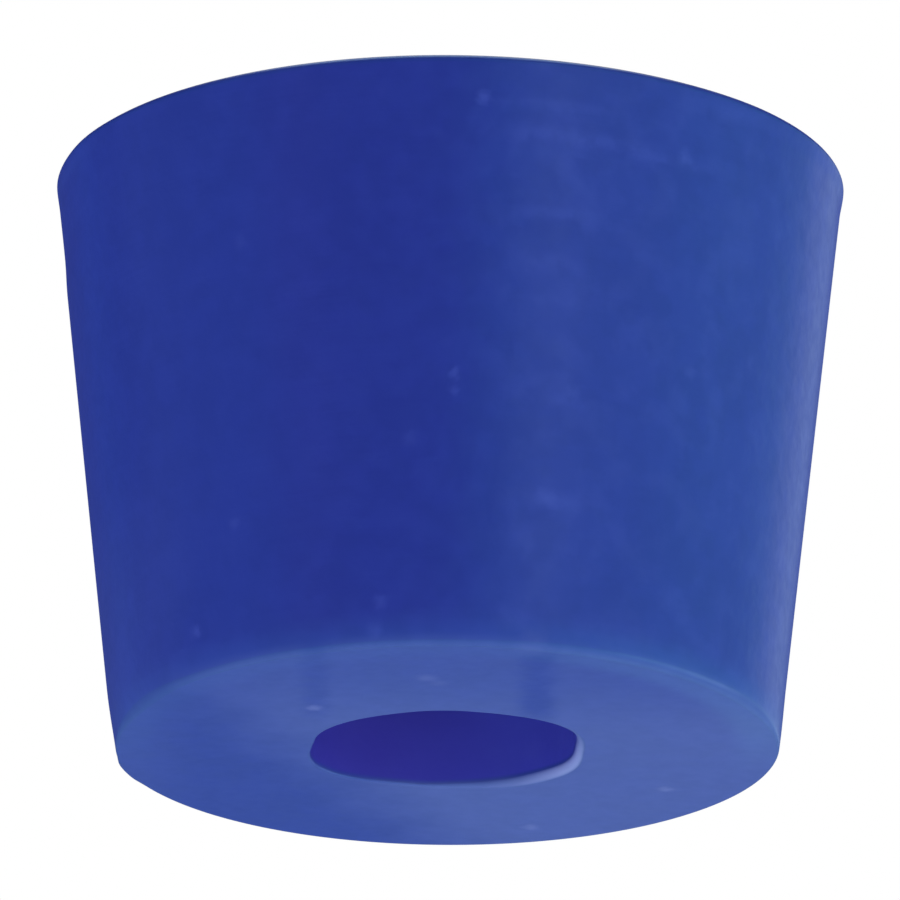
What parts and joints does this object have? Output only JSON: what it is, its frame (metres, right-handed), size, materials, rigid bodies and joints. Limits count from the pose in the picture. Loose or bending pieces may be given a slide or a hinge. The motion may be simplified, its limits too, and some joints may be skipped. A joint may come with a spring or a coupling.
{
  "type": "rubber stopper",
  "caption": "Tapered blue rubber laboratory stopper, a plain cone frustum with a straight through bore along its axis and small rounded edges.",
  "frame": {"origin": "centre of the narrow end's flat face, on the bore axis, where the stopper stands", "axes": "+Z along the axis from the narrow face to the wide face; X and Y are any two directions across it, because the stopper is a body of revolution"},
  "size_m": [0.037, 0.037, 0.0275],
  "materials": {
    "rubber": "satin moulded rubber"
  },
  "bodies": {
    "root": {"stopper": "rubber"}
  },
  "joints": []
}
